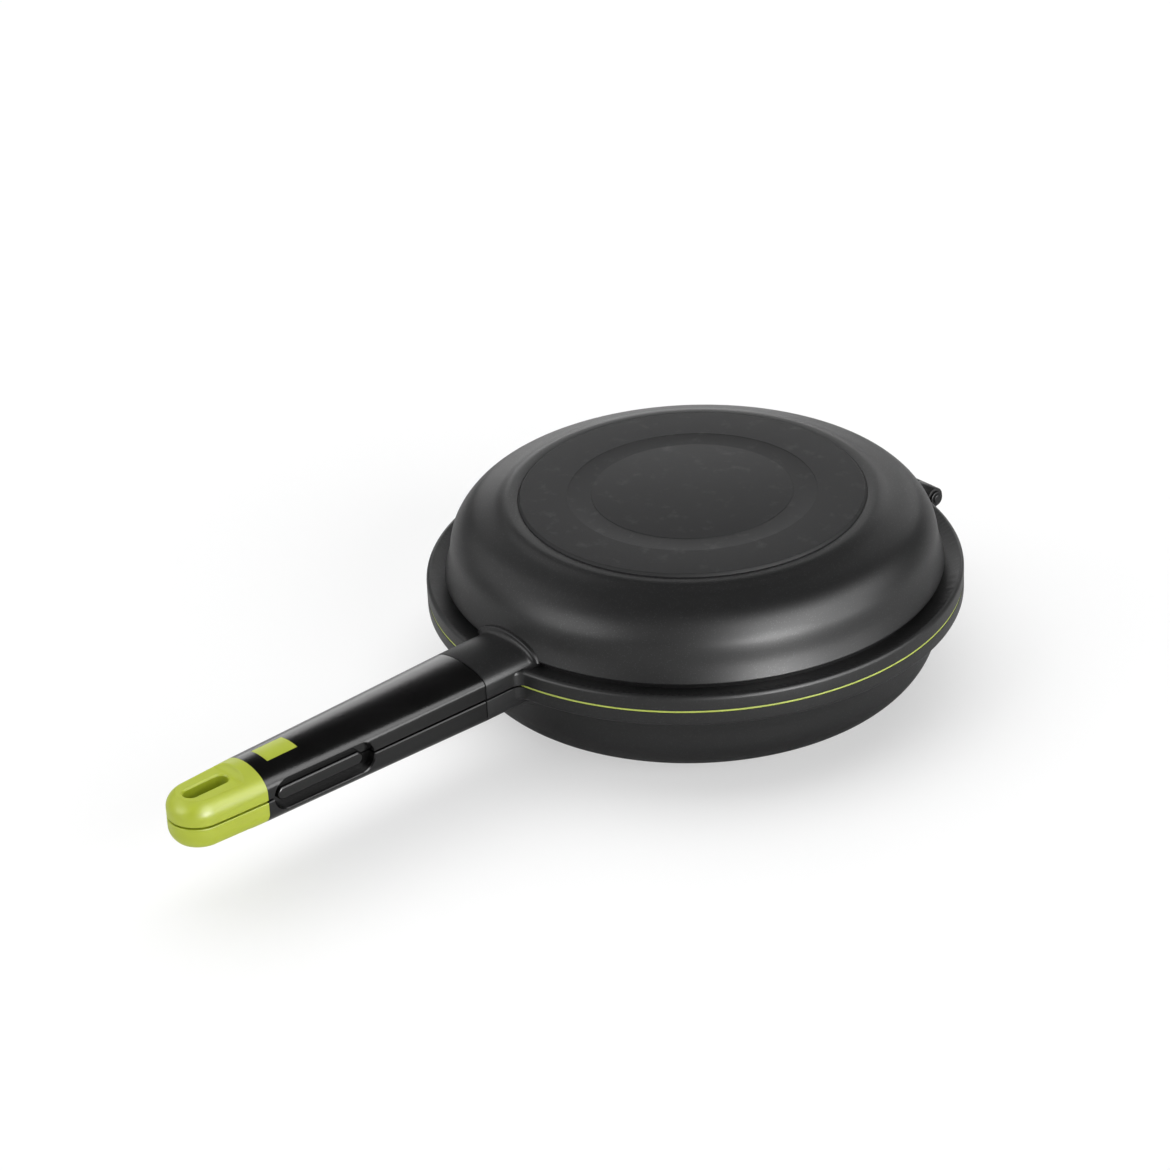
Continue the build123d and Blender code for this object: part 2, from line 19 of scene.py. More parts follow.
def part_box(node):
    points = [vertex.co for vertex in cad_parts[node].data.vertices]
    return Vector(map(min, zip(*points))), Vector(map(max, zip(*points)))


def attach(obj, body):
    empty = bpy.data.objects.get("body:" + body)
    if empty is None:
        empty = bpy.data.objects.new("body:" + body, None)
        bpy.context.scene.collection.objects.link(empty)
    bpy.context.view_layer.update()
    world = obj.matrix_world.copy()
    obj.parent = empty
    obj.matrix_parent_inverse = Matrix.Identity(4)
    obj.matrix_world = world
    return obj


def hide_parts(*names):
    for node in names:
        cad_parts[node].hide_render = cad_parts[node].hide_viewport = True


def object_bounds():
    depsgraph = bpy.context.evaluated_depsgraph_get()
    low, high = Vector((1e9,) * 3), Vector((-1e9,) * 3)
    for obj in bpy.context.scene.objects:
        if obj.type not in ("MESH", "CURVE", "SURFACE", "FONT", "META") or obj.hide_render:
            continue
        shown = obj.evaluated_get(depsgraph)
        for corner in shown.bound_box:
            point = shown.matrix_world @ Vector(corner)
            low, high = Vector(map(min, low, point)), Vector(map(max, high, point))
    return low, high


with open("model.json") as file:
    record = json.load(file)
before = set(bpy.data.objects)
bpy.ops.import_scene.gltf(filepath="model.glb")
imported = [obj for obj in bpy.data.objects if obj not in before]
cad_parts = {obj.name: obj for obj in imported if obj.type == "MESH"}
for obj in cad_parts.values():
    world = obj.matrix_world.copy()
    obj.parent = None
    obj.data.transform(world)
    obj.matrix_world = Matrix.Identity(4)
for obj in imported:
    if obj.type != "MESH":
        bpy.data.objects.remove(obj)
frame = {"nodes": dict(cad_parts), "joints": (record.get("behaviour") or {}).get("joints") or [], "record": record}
cad_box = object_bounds()
nodes = frame["nodes"]
scene = bpy.context.scene
print("nodes in the frame:", len(nodes))

# %% The driving sizes
mm = 0.001
tiny = 1e-6                # two places closer than this are one
split_z = frame["joints"][0]["pos_m"][2]
hinge_y = frame["joints"][0]["pos_m"][1]
depths = {"upper": cad_box[1].z - split_z, "lower": split_z - cad_box[0].z}
rim_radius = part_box("upper_pan")[1].x
plate_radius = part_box("upper_base_plate")[1].x
print("rim radius", round(rim_radius, 4), "split at", round(split_z, 4), "depths", depths)

# %% [markdown]
# ## The camera
# The view looks down at the pan from beyond the right of the handle with a long lens, so that the
# round rims hardly taper with distance. The camera is built from its directions: forward, right
# and up, leaned by a small roll, and then the whole rig is turned about the pan's own axis.

# %% Camera
camera_distance = 15.385 * rim_radius
camera_elevation = math.radians(29.0)
camera_azimuth = math.radians(49.5)
camera_roll = math.radians(-2.71)
focal_px, frame_px = 4123.0, 1170.0
aim_px = (694.9, 574.7)   # where the middle of the split plane sits in the picture

forward = Vector((0, math.cos(camera_elevation), -math.sin(camera_elevation)))
level = Vector((1, 0, 0))
upward = level.cross(forward)
right = level * math.cos(camera_roll) + upward * math.sin(camera_roll)
up = upward * math.cos(camera_roll) - level * math.sin(camera_roll)
aside = (aim_px[0] - frame_px / 2) / focal_px
above = (frame_px / 2 - aim_px[1]) / focal_px

pose = Matrix((right, up, -forward)).transposed().to_4x4()
pose.translation = -camera_distance * (forward + aside * right + above * up)
camera_data = bpy.data.cameras.new("camera")
camera_data.sensor_width = 36.0
camera_data.lens = camera_data.sensor_width * focal_px / frame_px
camera = bpy.data.objects.new("camera", camera_data)
camera.matrix_world = (
    Matrix.Translation((0, 0, split_z)) @ Matrix.Rotation(camera_azimuth, 4, "Z") @ pose)
scene.collection.objects.link(camera)
scene.camera = camera
print("camera at", [round(v, 3) for v in camera.matrix_world.translation])

# %% [markdown]
# ## The studio lights
# A dark satin coat shows its lamps as soft bright patches, so the lamps decide how the pan reads.
# Sun lamps with a wide angle act as big softboxes. One set shows in glossy surfaces alone. Those on
# the right do most of the work there: low ones for the skirt of the dome and tall ones for its
# shoulder. Weak ones on the left and on the far side keep those parts from going flat, and a low
# one at the back draws the thin band along the handle. The other set lights matt surfaces alone,
# at a level that leaves a colour as it is, and most of it comes from overhead, so that the pan
# casts one soft shadow and no lamp's mirror image greys its top.


# %% Soft lamps
def softbox(name, azimuth, elevation, spread, strength, shows_in):
    """Sun lamp at an azimuth from +X and an elevation, in degrees, for gloss or matt surfaces."""
    data = bpy.data.lights.new(name, "SUN")
    data.angle = math.radians(spread)
    data.energy = strength
    lamp = bpy.data.objects.new(name, data)
    turn, rise = math.radians(azimuth), math.radians(elevation)
    source = Vector((math.cos(turn) * math.cos(rise), math.sin(turn) * math.cos(rise), math.sin(rise)))
    lamp.rotation_euler = source.to_track_quat("Z", "Y").to_euler()
    lamp.visible_glossy = shows_in == "gloss"
    lamp.visible_diffuse = shows_in == "matt"
    scene.collection.objects.link(lamp)
    return lamp


softbox("key_low", -8, 8, 28, 3.8, "gloss")
softbox("key_high", 4, 38, 37, 2.1, "gloss")
softbox("right_low", 26, 7, 24, 0.8, "gloss")
softbox("right_back", 42, 32, 30, 0.75, "gloss")
softbox("far_side", 114, 18, 26, 0.22, "gloss")
softbox("left_front", -104, 25, 40, 1.3, "gloss")
softbox("left_back", -160, 36, 50, 0.5, "gloss")
softbox("back", 142, 11, 28, 0.38, "gloss")
softbox("overhead", 150, 69, 84, 2.5, "matt")
softbox("side_fill", 0, 10, 60, 2.8, "matt")
softbox("left_fill", -115, 28, 60, 1.1, "matt")


# %% [markdown]
# ## Shader maths as plain formulas
# A material is a graph of small nodes. Wiring them by hand hides the idea, so a `Value` wraps one
# socket and turns `a * b + 1` into the Math nodes it stands for. `Finish` owns a material, makes
# any other node with one method, and measures its patterns in millimetres on the object itself.

# %% Value and Finish
class Value:
    """One number, colour or vector in a finish, for use in formulas."""

    def __init__(self, tree, socket):
        self.tree, self.socket = tree, socket

    def maths(self, operation, first, second):
        made = self.tree.nodes.new("ShaderNodeMath")
        made.operation = operation
        for socket, term in zip(made.inputs, (first, second)):
            feed(self.tree, socket, term)
        return Value(self.tree, made.outputs[0])

    def __add__(self, other):
        return self.maths("ADD", self, other)

    def __radd__(self, other):
        return self.maths("ADD", other, self)

    def __sub__(self, other):
        return self.maths("SUBTRACT", self, other)

    def __mul__(self, other):
        return self.maths("MULTIPLY", self, other)

    def __rmul__(self, other):
        return self.maths("MULTIPLY", other, self)

    def __pow__(self, other):
        return self.maths("POWER", self, other)

    def __lt__(self, other):
        return self.maths("LESS_THAN", self, other)


def feed(tree, socket, term):
    """Link a Value to a socket, or set the socket's own value."""
    if isinstance(term, Value):
        tree.links.new(term.socket, socket)
    else:
        socket.default_value = term


class Finish:
    """A Principled material whose patterns are measured in millimetres."""

    def __init__(self, name, **constants):
        self.material = bpy.data.materials.new(name)
        self.material.use_nodes = True
        self.tree = self.material.node_tree
        self.shader = self.tree.nodes["Principled BSDF"]
        for socket, term in constants.items():
            self.set(socket.replace("_", " "), term)
        place = self.node("TexCoord", out="Object")
        self.place = self.node("VectorMath", {"operation": "SCALE"}, {"Vector": place, "Scale": 1 / mm})

    def node(self, kind, settings=None, sockets=None, out=0):
        """Any node: its type, its settings, then the values or links of its sockets."""
        made = self.tree.nodes.new("ShaderNode" + kind)
        for key, setting in (settings or {}).items():
            setattr(made, key, setting)
        for key, term in (sockets or {}).items():
            feed(self.tree, made.inputs[key], term)
        return Value(self.tree, made.outputs[out])

    def set(self, socket, term):
        feed(self.tree, self.shader.inputs[socket], term)

    def noise(self, size_mm, detail=2.0, roughness=0.5, place=None):
        """Soft noise whose blotches are about size_mm across, from 0 to 1."""
        sockets = {"Vector": place or self.place, "Scale": 1 / size_mm, "Detail": detail,
                   "Roughness": roughness}
        return self.node("TexNoise", {}, sockets)

    def flecks(self, size_mm, share):
        """Scattered dots about size_mm apart: 1 on a dot, 0 between them."""
        sockets = {"Vector": self.place, "Scale": 1 / size_mm, "Randomness": 1.0}
        chance = self.node("TexVoronoi", {}, sockets, out="Color")
        picked = self.node("SeparateColor", {}, {"Color": chance}, out="Red") < share
        near = self.node("TexVoronoi", {}, sockets, out="Distance") < 0.42
        return picked * near

    def mixed(self, mask, first, second):
        """Colour that goes from first to second as the mask goes from 0 to 1."""
        made = self.tree.nodes.new("ShaderNodeMix")
        made.data_type = "RGBA"
        factor, colour_a, colour_b = 0, 6, 7    # places of a colour mix's sockets
        feed(self.tree, made.inputs[factor], mask)
        for place, colour in ((colour_a, first), (colour_b, second)):
            feed(self.tree, made.inputs[place], (*colour, 1) if isinstance(colour, tuple) else colour)
        return Value(self.tree, made.outputs[2])

    def bump(self, height, depth_mm):
        """Small relief: height runs from 0 to 1 over depth_mm."""
        sockets = {"Height": height, "Distance": depth_mm * mm, "Strength": 1.0}
        self.set("Normal", self.node("Bump", {}, sockets))

    def radius(self):
        """Distance from the pan's own axis, in millimetres."""
        x = self.node("SeparateXYZ", {}, {"Vector": self.place}, out="X")
        y = self.node("SeparateXYZ", {}, {"Vector": self.place}, out="Y")
        return (x * x + y * y) ** 0.5


print("finish helpers ready")


# %% [markdown]
# ## The finishes
# Each one starts from the colour and gloss of the real stuff, and then gets the small unevenness
# that keeps it from looking like paint: flecks in the coat, turned rings on the plates, a fine
# moulding grain on the grip and the rubber.

# %% Satin coat of the castings
def make_coat():
    """Outside of the castings: near black and satin, with fine paler flecks and soft clouds."""
    coat = Finish("satin_coat", Specular_IOR_Level=0.5)
    dust = coat.flecks(0.55, 0.16)
    cloud = coat.noise(60, 3.0)
    base = coat.mixed(cloud, (0.006, 0.006, 0.0062), (0.010, 0.010, 0.0103))
    coat.set("Base Color", coat.mixed(dust * 0.5, base, (0.04, 0.04, 0.042)))
    coat.set("Roughness", 0.37 + 0.08 * coat.noise(35, 4.0) - 0.08 * dust)
    coat.bump(coat.noise(0.9, 3.0, 0.6), 0.012)
    return coat.material


def make_nonstick():
    """Inside of the pans: a smoother coat over fine turned rings, with paler flecks."""
    lining = Finish("nonstick_lining", Specular_IOR_Level=0.5)
    dots = lining.flecks(1.3, 0.10)
    lining.set("Base Color", lining.mixed(dots, (0.016, 0.016, 0.017), (0.13, 0.13, 0.13)))
    lining.set("Roughness", 0.28 + 0.10 * lining.noise(25, 3.0) + 0.06 * dots)
    ridge = lining.node("Math", {"operation": "SINE"}, {0: lining.radius() * 4.2})
    lining.bump(0.4 * ridge + 0.6 * lining.noise(0.8, 2.0), 0.02)
    return lining.material


def make_plate():
    """Base plates: a matt coat over fine lathe rings, scuffed a little where they stand."""
    plate = Finish("matt_plate", Specular_IOR_Level=0.32)
    radius = plate.radius()
    lathe = plate.node("TexNoise", {"noise_dimensions": "1D"}, {"W": radius * 1.5, "Detail": 5.0})
    scuff = plate.noise(9, 5.0, 0.65)
    marks = plate.node("MapRange", {}, {"Value": scuff, "From Min": 0.56, "From Max": 0.70})
    tone = plate.mixed(lathe, (0.009, 0.009, 0.0093), (0.014, 0.014, 0.0145))
    plate.set("Base Color", plate.mixed(marks * 0.25, tone, (0.04, 0.04, 0.04)))
    plate.set("Roughness", 0.52 + 0.12 * lathe - 0.06 * marks)
    plate.bump(lathe, 0.02)
    return plate.material


# %% Grip, caps and seal
def make_black():
    """Handles: moulded phenolic, smooth and deep black, with a faint smear from use."""
    black = Finish("black_phenolic", Specular_IOR_Level=0.55)
    smear = black.noise(18, 3.0)
    black.set("Base Color", black.mixed(smear, (0.002, 0.002, 0.002), (0.004, 0.004, 0.004)))
    black.set("Roughness", 0.20 + 0.06 * smear)
    black.bump(black.noise(0.7, 2.0), 0.006)
    return black.material


def make_green():
    """End caps and inlays: lime green with a soft touch and a fine moulding grain."""
    green = Finish("lime_soft_touch", Specular_IOR_Level=0.6)
    patch = green.noise(14, 2.0)
    green.set("Base Color", green.mixed(patch, (0.365, 0.43, 0.017), (0.41, 0.475, 0.023)))
    green.set("Roughness", 0.34 + 0.08 * green.noise(3.0, 3.0))
    green.bump(green.noise(0.35, 2.0), 0.010)
    return green.material


def make_silicone():
    """Seal: lime silicone with a cloudy film."""
    silicone = Finish("lime_silicone", Specular_IOR_Level=0.5)
    film = silicone.noise(6, 3.0)
    silicone.set("Base Color", silicone.mixed(film, (0.46, 0.55, 0.07), (0.58, 0.68, 0.14)))
    silicone.set("Roughness", 0.42 + 0.12 * film)
    silicone.bump(silicone.noise(0.6, 2.0), 0.010)
    return silicone.material


# %% Metals
def make_metal(name, dark, light, roughness, grain_mm, squash):
    """Bare metal with a fine grain drawn out along Y."""
    metal = Finish(name, Metallic=1.0)
    drawn = metal.node("Mapping", {}, {"Vector": metal.place, "Scale": (1, squash, 1)})
    grain = metal.noise(grain_mm, 4.0, 0.6, place=drawn)
    metal.set("Base Color", metal.mixed(grain, dark, light))
    metal.set("Roughness", roughness + 0.15 * grain)
    metal.bump(grain, 0.008)
    return metal.material


finishes = {
    "coated_casting": make_coat(),
    "coated_plate": make_plate(),
    "green_silicone": make_silicone(),
    "black_handle": make_black(),
    "green_cap": make_green(),
    "nickel_magnet": make_metal("nickel", (0.50, 0.48, 0.44), (0.66, 0.64, 0.60), 0.16, 0.5, 1.0),
    "steel": make_metal("bright_steel", (0.42, 0.42, 0.41), (0.62, 0.62, 0.61), 0.24, 0.25, 0.2),
    "blackened_steel": make_metal("dark_oxide", (0.02, 0.02, 0.021), (0.06, 0.06, 0.06), 0.38, 0.3, 1),
}
lining = make_nonstick()
print("finishes:", sorted(finishes))

# %% Finishes on the carried-over pieces
for part in frame["record"]["subparts"]:
    mesh = nodes[part["node"]].data
    mesh.materials.clear()
    mesh.materials.append(finishes[part["material_slot"]])

# %% [markdown]
# ## Turning on a lathe
# Pans, plates and the seal are round, so each is an outline in the XZ plane that is spun once
# round the Z axis. A wire's corners can be rounded by a vertex bevel before the spin, which is
# how a pattern maker would draw the radii of a casting.


# %% Lathe helpers
def wire(bm, outline):
    """Open wire through (radius, height) points. A third number rounds that corner."""
    points = [bm.verts.new((point[0], 0, point[1])) for point in outline]
    for pair in zip(points, points[1:]):
        bm.edges.new(pair)
    for vertex, point in zip(points, outline):
        if len(point) > 2:
            bmesh.ops.bevel(bm, geom=[vertex], offset=point[2], segments=4, profile=0.5,
                            affect="VERTICES", material=-1)


def turned(outline, steps=240, material=0):
    """Surface of one full turn of an outline."""
    bm = bmesh.new()
    wire(bm, outline)
    bmesh.ops.spin(bm, geom=bm.verts[:] + bm.edges[:], cent=(0, 0, 0), axis=(0, 0, 1),
                   angle=math.tau, steps=steps, use_merge=True)
    bmesh.ops.remove_doubles(bm, verts=bm.verts, dist=tiny)
    for face in bm.faces:
        face.material_index = material
    return bm


def joined(parts):
    """One bmesh from several, welded where they meet, with its faces pointing outwards."""
    whole = bmesh.new()
    for part in parts:
        loose = bpy.data.meshes.new("loose")
        part.to_mesh(loose)
        part.free()
        whole.from_mesh(loose)
        bpy.data.meshes.remove(loose)
    bmesh.ops.remove_doubles(whole, verts=whole.verts, dist=tiny)
    bmesh.ops.recalc_face_normals(whole, faces=whole.faces)
    return whole


def smooth_curve(stations, first, last, steps=8):
    """Points on a curve through the stations that leaves along first and arrives along last."""
    knots = [Vector(station) for station in stations]
    inner = [(after - before).normalized() for before, after in zip(knots, knots[2:])]
    ways = [Vector(first).normalized(), *inner, Vector(last).normalized()]
    points = []
    for a, b, leave, arrive in zip(knots, knots[1:], ways, ways[1:]):
        third = (b - a).length / 3
        points += interpolate_bezier(a, a + leave * third, b - arrive * third, b, steps + 1)[:-1]
    return [(point.x, point.y) for point in points] + [tuple(knots[-1])]


print("lathe ready")

# %% [markdown]
# ## The cast pans
# Each half is drawn above the plane in which the two meet, because both share the same rim, neck
# and hinge. It takes two turned outlines. The outside comes from the seat of the base plate over
# the dome to its lip and into the deep shadow groove, where it runs down into the rim. The inside
# is the cooking surface, a core to be taken out of the solid casting.

# %% Sizes of a pan
face = 0.5 * mm            # mating face above the split plane
rim_height = 8.0 * mm
rim_round = 2.0 * mm
groove_mouth, groove_floor, groove_radius = 126.0 * mm, 5.6 * mm, 121.0 * mm
lip_radius, lip_height, lip_round = 124.7 * mm, 9.0 * mm, 0.8 * mm
lip_flare = 0.32
dome = ((122.3, 0.207), (119.4, 0.535), (111.3, 0.780), (98.0, 0.903))   # mm, share of height
land_radius, plate_proud, plate_thick, plate_gap = 91.0 * mm, 1.3 * mm, 1.8 * mm, 0.1 * mm
seal_in, seal_seat = 126.1 * mm, 0.6 * mm
rib_groove_in, rib_groove_out, rib_groove_deep = 127.5 * mm, 129.7 * mm, 3.5 * mm
wall_radius, mouth_radius, mouth_flare = 118.0 * mm, 120.0 * mm, 2.0 * mm
wall_top, floor_radius, floor_thick = 18.0 * mm, 93.0 * mm, 4.0 * mm


# %% Outline of a pan
def outside(depth):
    """Dome and lip, solid down into the rim."""
    land = depth - plate_proud
    seat = depth - plate_thick
    stations = [(lip_radius, lip_height)]
    stations += [(r * mm, lip_height + share * (depth - lip_height)) for r, share in dome]
    stations += [(land_radius, land)]
    shoulder = smooth_curve(stations, (-lip_flare, 1), (-1, 0))
    root = groove_floor - 1 * mm
    return [
        (0, seat), (plate_radius + plate_gap, seat), (plate_radius + plate_gap, land, 0.3 * mm),
        *reversed(shoulder[1:]), (lip_radius, lip_height, lip_round),
        (groove_radius, lip_height, 1.0 * mm), (groove_radius, root), (0, root),
    ]


def inside(depth, corners=14):
    """Cooking surface and flared mouth, as the core that is taken out of the casting."""
    roof = depth - plate_thick - floor_thick
    turns = [math.radians(90 * i / corners) for i in range(corners + 1)]
    corner = [(floor_radius + (wall_radius - floor_radius) * math.cos(t),
               wall_top + (roof - wall_top) * math.sin(t)) for t in turns]
    below = face - mouth_flare
    return [(0, below), (mouth_radius + mouth_flare, below), (wall_radius, face + mouth_flare),
            *corner, (0, roof)]


def closed_ring(inner, outer, low, high):
    """Outline of a ring with a rectangular section."""
    return [(inner, low), (outer, low), (outer, high), (inner, high), (inner, low)]


print("outside of the upper pan:", len(outside(depths["upper"])), "points")

# %% [markdown]
# ## The neck, its collar and the rim
# The arm that carries the handle has the handle's own section: flat below, straight sides and a
# half-elliptic crown. Half a circle spun from one vertex and squeezed in height gives the crown.
# Where the arm meets the dome it flares into a raised collar. That flare is a row of the same
# section, each a little larger than the last, bridged into one skin and cut off level with the
# dome's lip. The upper half's arm is a little thinner. In plan the rim sweeps into the arm's
# sides. Three arcs spun one after another draw that whole outline, which is pulled up into a
# thick disc, rounded along its edge and dished on a lathe.

# %% Sizes of the neck
neck_half = 19.0 * mm
neck_heights = {"upper": (7.4 * mm, 14.7 * mm), "lower": (8.6 * mm, 16.8 * mm)}   # side, crown
neck_root, neck_end = 119.0 * mm, 153.4 * mm
collar_start, collar_hollow, collar_lip = 126.4 * mm, 2.5 * mm, 0.8 * mm
sweep_radius = 5.0 * mm
tang_half, tang_low, tang_high, tang_end = 7.0 * mm, 4.0 * mm, 12.0 * mm, 176.0 * mm
tang_root, thread_root = 2 * mm - neck_end, -5 * mm - neck_end
parting_round = 0.5 * mm


# %% Sections of the neck
def half_section(bm, which, reach, grow=0.0):
    """Closed loop of edges across the arm at a distance from the pan's axis."""
    neck_side, crown = neck_heights[which]
    half, crown = neck_half + grow, crown + grow
    start = bm.verts.new((half, -reach, neck_side))
    before = set(bm.verts) - {start}
    bmesh.ops.spin(bm, geom=[start], cent=(0, -reach, neck_side), axis=(0, -1, 0),
                   angle=math.pi, steps=40)
    crown_verts = [v for v in bm.verts if v not in before]
    squeeze = Matrix.Diagonal((1, 1, (crown - neck_side) / half, 1))
    bmesh.ops.transform(bm, verts=crown_verts, matrix=squeeze,
                        space=Matrix.Translation((0, 0, -neck_side)))
    last = min(crown_verts, key=lambda v: v.co.x)
    feet = [bm.verts.new((half, -reach, face)), bm.verts.new((-half, -reach, face))]
    for pair in ((start, feet[0]), (feet[0], feet[1]), (feet[1], last)):
        bm.edges.new(pair)
    ring = set(crown_verts + feet)
    return [edge for edge in bm.edges if set(edge.verts) <= ring]


def arm(which):
    """Arm from under the dome to the handle, its parting edges and its end softened."""
    bm = bmesh.new()
    root = bmesh.ops.contextual_create(bm, geom=half_section(bm, which, neck_root))["faces"]
    made = bmesh.ops.extrude_face_region(bm, geom=root, use_keep_orig=True)["geom"]
    moved = [item for item in made if isinstance(item, bmesh.types.BMVert)]
    bmesh.ops.translate(bm, verts=moved, vec=(0, neck_root - neck_end, 0))
    bmesh.ops.recalc_face_normals(bm, faces=bm.faces)
    low_edges = [e for e in bm.edges if all(v.co.z < face + tiny for v in e.verts)
                 and abs(e.verts[0].co.y - e.verts[1].co.y) > 1 * mm]
    end_edges = [e for e in bm.edges if all(v.co.y < tiny - neck_end for v in e.verts)
                 and any(v.co.z > face + tiny for v in e.verts)]
    bmesh.ops.bevel(bm, geom=low_edges, offset=parting_round, segments=3, profile=0.5,
                    affect="EDGES", material=-1)
    end_edges = [e for e in end_edges if e.is_valid]
    bmesh.ops.bevel(bm, geom=end_edges, offset=0.25 * mm, segments=2, profile=0.5,
                    affect="EDGES", material=-1)
    return bm


def collar(which):
    """Flare from the arm to the dome: a hollow quarter round, then a small rounded lip."""
    rings = [(collar_start + 0.2 * mm, -0.1 * mm)]    # the first ring hides inside the arm
    for i in range(9):
        turn = math.radians(90 * i / 8)
        rings.append((collar_start - collar_hollow * math.sin(turn),
                      collar_hollow * (1 - math.cos(turn))))
    for i in range(1, 5):
        turn = math.radians(90 * i / 4)
        rings.append((collar_start - collar_hollow - collar_lip * (1 - math.cos(turn)),
                      collar_hollow + collar_lip * math.sin(turn)))
    rings.append((neck_root, collar_hollow + collar_lip))
    bm = bmesh.new()
    loops = [half_section(bm, which, reach, grow) for reach, grow in rings]
    for one, other in zip(loops, loops[1:]):
        bmesh.ops.bridge_loops(bm, edges=one + other)
    for end in (loops[0], loops[-1]):
        bmesh.ops.contextual_create(bm, geom=end)
    whole = bm.verts[:] + bm.edges[:] + bm.faces[:]
    bmesh.ops.bisect_plane(bm, geom=whole, plane_co=(0, 0, lip_height), plane_no=(0, 0, -1),
                           clear_outer=True)
    bmesh.ops.holes_fill(bm, edges=[e for e in bm.edges if e.is_boundary], sides=0)
    bmesh.ops.recalc_face_normals(bm, faces=bm.faces)
    return bm


def flange():
    """Rim and neck sweeps from one plan outline, its upper face dished towards the groove."""
    centre_x = neck_half + sweep_radius
    centre_y = -math.sqrt((rim_radius + sweep_radius) ** 2 - centre_x ** 2)
    turn = math.atan2(-centre_y, centre_x)
    arcs = (((centre_x, centre_y, face), -1, turn, 12),
            ((0, 0, face), 1, math.pi + 2 * turn, 232),
            ((-centre_x, centre_y, face), -1, turn, 12))
    bm = bmesh.new()
    first = end = bm.verts.new((neck_half, centre_y, face))
    for centre, way, angle, steps in arcs:
        spun = bmesh.ops.spin(bm, geom=[end], cent=centre, axis=(0, 0, way), angle=angle, steps=steps)
        end = next(item for item in spun["geom_last"] if isinstance(item, bmesh.types.BMVert))
    bm.edges.new((end, first))
    floor = bmesh.ops.contextual_create(bm, geom=bm.edges[:])["faces"]
    made = bmesh.ops.extrude_face_region(bm, geom=floor, use_keep_orig=True)["geom"]
    moved = [item for item in made if isinstance(item, bmesh.types.BMVert)]
    bmesh.ops.translate(bm, verts=moved, vec=(0, 0, rim_height - face))
    bmesh.ops.recalc_face_normals(bm, faces=bm.faces)
    crest = [e for e in bm.edges if all(v.co.z > rim_height - tiny for v in e.verts)]
    bmesh.ops.bevel(bm, geom=crest, offset=rim_round, segments=5, profile=0.5, affect="EDGES",
                    material=-1)
    return bm


def dish():
    """Cutter for the rim's upper face, which falls from its crest to the groove's floor."""
    crest = rim_radius - rim_round
    slope = (rim_height - groove_floor) / (crest - groove_mouth)
    past = 0.5 * mm
    top = rim_height + 4 * mm
    return [(0, groove_floor), (groove_mouth, groove_floor), (crest + past, rim_height + slope * past),
            (crest + past, top), (0, top)]


# %% [markdown]
# ## The hinge
# The upper pan has one long knuckle in the middle and the lower pan has two ears beside it, all
# bored for the same pin. A knuckle is a short bar along X with broken edges, and a web ties it to
# the rim.

# %% Hinge pieces
knuckle_radius, knuckle_half = 5.4 * mm, 16.8 * mm
ear_start, ear_end = 17.2 * mm, 29.6 * mm
bore_radius, thread_radius, thread_height = 2.55 * mm, 2.5 * mm, 8.0 * mm
web_top = 5.2 * mm
spans = {"upper": [(-knuckle_half, knuckle_half)],
         "lower": [(-ear_end, -ear_start), (ear_start, ear_end)]}


def rod(radius, start, end, segments=48, edge=0.0):
    """Round bar from one point to another."""
    start, end = Vector(start), Vector(end)
    way = end - start
    place = Matrix.Translation((start + end) / 2) @ way.to_track_quat("Z", "Y").to_matrix().to_4x4()
    bm = bmesh.new()
    bmesh.ops.create_cone(bm, cap_ends=True, segments=segments, radius1=radius, radius2=radius,
                          depth=way.length, matrix=place)
    if edge:
        along = way.normalized()
        rims = [e for e in bm.edges if abs((e.verts[0].co - e.verts[1].co).dot(along)) < tiny]
        bmesh.ops.bevel(bm, geom=rims, offset=edge, segments=2, profile=0.5, affect="EDGES",
                        material=-1)
    return bm


def slab(x0, x1, y0, y1, z0, z1, edge=0.0):
    """Rectangular block between two corners."""
    bm = bmesh.new()
    size = Matrix.Diagonal((x1 - x0, y1 - y0, z1 - z0, 1))
    middle = Matrix.Translation(((x0 + x1) / 2, (y0 + y1) / 2, (z0 + z1) / 2))
    bmesh.ops.create_cube(bm, size=1.0, matrix=middle @ size)
    if edge:
        bmesh.ops.bevel(bm, geom=bm.edges[:], offset=edge, segments=2, profile=0.5,
                        affect="EDGES", material=-1)
    return bm


# %% [markdown]
# ## Putting a casting together
# The turned body, the rim, the arm, the collar and the hinge overlap. A Boolean modifier with the
# Manifold solver joins them into one skin, as the mould would. The inside is taken out like a
# sand core, and brings its own coat along as the second material. The modifier is applied at
# once, so the finished piece is a plain mesh. Edges sharper than an angle are marked sharp, so
# the flats stay flat while the turned faces shade smoothly.


# %% Solid joining
def as_object(name, bm, *materials):
    mesh = bpy.data.meshes.new(name)
    bm.to_mesh(mesh)
    bm.free()
    for material in materials:
        mesh.materials.append(material)
    made = bpy.data.objects.new(name, mesh)
    scene.collection.objects.link(made)
    return made


def combine(piece, tool, operation):
    """Join a tool with a piece, or cut it from it, and throw the tool away."""
    modifier = piece.modifiers.new("combine", "BOOLEAN")
    modifier.operation = operation
    modifier.solver = "MANIFOLD"
    modifier.object = tool
    bpy.context.view_layer.update()
    result = bpy.data.meshes.new_from_object(
        piece.evaluated_get(bpy.context.evaluated_depsgraph_get()))
    piece.modifiers.clear()
    old, piece.data = piece.data, result
    bpy.data.meshes.remove(old)
    bpy.data.objects.remove(tool)


def finish_piece(piece, materials, body, slot, *replaced, sharp=28):
    """Name and shade a finished piece, hang it on its body and hide the pieces it replaces."""
    piece.data.name = piece.name
    piece.data.materials.clear()
    for material in materials:
        piece.data.materials.append(material)
    piece.data.shade_smooth()
    piece.data.set_sharp_from_angle(angle=math.radians(sharp))
    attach(piece, body)
    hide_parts(*replaced)
    print(piece.name, len(piece.data.polygons), "faces")
    return piece


